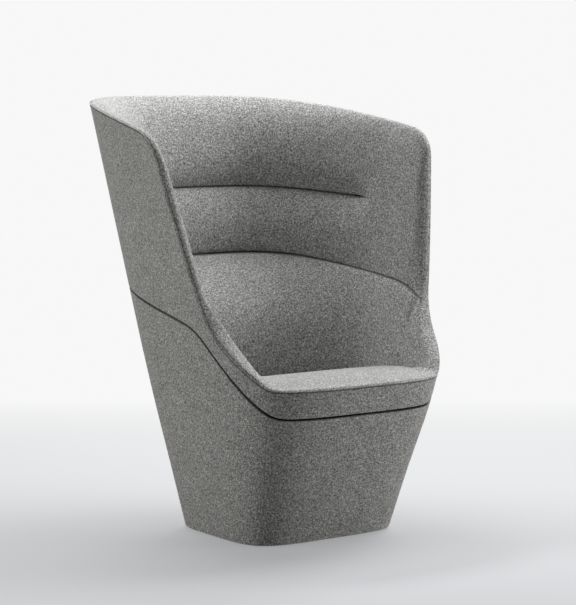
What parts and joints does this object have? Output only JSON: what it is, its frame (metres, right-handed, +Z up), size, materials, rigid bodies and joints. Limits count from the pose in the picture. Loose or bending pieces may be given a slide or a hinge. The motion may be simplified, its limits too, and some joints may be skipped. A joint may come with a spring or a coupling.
{
  "type": "acoustic high back lounge chair",
  "caption": "High back lounge chair: a flared felt-covered tub with tall wings and a crowned seat, on a matching plinth with levelling glides.",
  "frame": {"origin": "on the floor, below the middle of the overall box", "axes": "+Z up, -Y towards the front where the sitter's legs are, +X to the right seen from the front"},
  "size_m": [0.9056, 0.9563, 1.1731],
  "materials": {
    "felt": "grey melange wool felt",
    "plywood": "bare birch plywood",
    "black_board": "black stained board and sheet",
    "black_plastic": "matt moulded",
    "zinc": "zinc plated"
  },
  "bodies": {
    "chair": {"plinth_cover": "felt", "plinth_skin": "black_board", "floor_board": "plywood", "dust_cover": "black_board", "deck": "plywood", "plinth_rib_left": "plywood", "plinth_rib_right": "plywood", "plinth_rib_front": "plywood", "plinth_rib_rear": "plywood", "glide_insert_front_left": "zinc", "glide_insert_front_right": "zinc", "glide_insert_rear_left": "zinc", "glide_insert_rear_right": "zinc", "joint_band": "black_board", "shell_cover": "felt", "shell_skin": "black_board", "seat_board": "plywood", "shell_bolt_front_left": "zinc", "shell_bolt_front_right": "zinc", "shell_bolt_rear_left": "zinc", "shell_bolt_rear_right": "zinc", "shell_nut_front_left": "zinc", "shell_nut_front_right": "zinc", "shell_nut_rear_left": "zinc", "shell_nut_rear_right": "zinc", "edge_roll": "felt", "wing_pad": "felt", "bucket_pad": "felt", "back_rib_inner_left": "plywood", "back_rib_inner_right": "plywood", "back_rib_outer_left": "plywood", "back_rib_outer_right": "plywood", "seat_cushion": "felt"},
    "foot_front_left": {"glide_front_left": "black_plastic"},
    "foot_front_right": {"glide_front_right": "black_plastic"},
    "foot_rear_left": {"glide_rear_left": "black_plastic"},
    "foot_rear_right": {"glide_rear_right": "black_plastic"}
  },
  "joints": [
    {"name": "level_front_left", "type": "slide", "parent": "chair", "child": "foot_front_left", "axis": [0, 0, -1], "range_m": [0, 0.008]},
    {"name": "level_front_right", "type": "slide", "parent": "chair", "child": "foot_front_right", "axis": [0, 0, -1], "range_m": [0, 0.008]},
    {"name": "level_rear_left", "type": "slide", "parent": "chair", "child": "foot_rear_left", "axis": [0, 0, -1], "range_m": [0, 0.008]},
    {"name": "level_rear_right", "type": "slide", "parent": "chair", "child": "foot_rear_right", "axis": [0, 0, -1], "range_m": [0, 0.008]}
  ]
}
